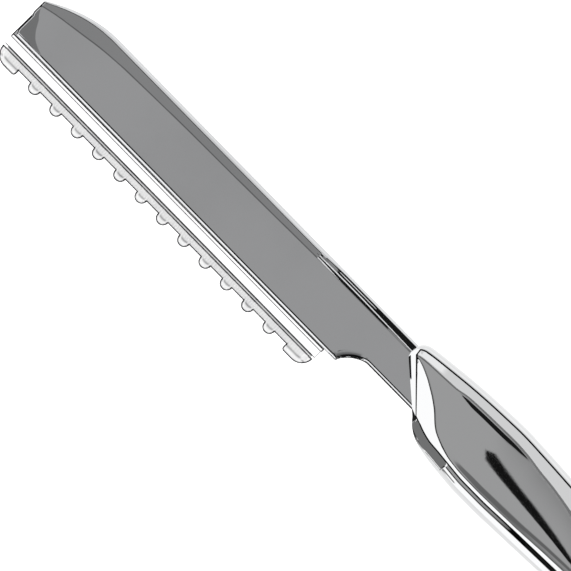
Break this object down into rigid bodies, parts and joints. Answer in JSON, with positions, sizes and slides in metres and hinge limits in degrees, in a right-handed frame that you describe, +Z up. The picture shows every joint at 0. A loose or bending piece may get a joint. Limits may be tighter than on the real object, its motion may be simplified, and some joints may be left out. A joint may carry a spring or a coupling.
{
  "type": "hair styling razor",
  "caption": "Hairdresser's fixed-handle styling razor in polished steel, with a comb-guarded blade cartridge that slides out of the nose of its holder.",
  "frame": {"origin": "under the middle of the whole object, on the surface that it lies on", "axes": "+X along the razor from the nose of the blade holder to the tail of the handle, +Y from the cutting edge to the spine, +Z up, across the razor's thickness"},
  "size_m": [0.206, 0.0178, 0.01],
  "materials": {
    "polished_steel": "mirror-polished stainless steel",
    "chrome_plate": "bright chrome plate",
    "cartridge_steel": "bright folded steel strip",
    "blade_steel": "ground blade steel",
    "spring_steel": "plain spring steel",
    "clear_plastic": "clear moulded plastic, slightly frosted"
  },
  "bodies": {
    "razor": {"blade_holder": "polished_steel", "clamp_spring": "spring_steel", "tang_plate": "spring_steel", "tang_pin_front": "spring_steel", "tang_pin_rear": "spring_steel", "handle_frame": "chrome_plate", "front_cover": "chrome_plate", "back_cover": "chrome_plate"},
    "cartridge": {"cartridge_spine": "cartridge_steel", "razor_blade": "blade_steel", "comb_guard": "clear_plastic"}
  },
  "joints": [
    {"name": "cartridge_slide", "type": "slide", "parent": "razor", "child": "cartridge", "axis": [-1, 0, 0], "range_m": [0, 0.067]}
  ]
}
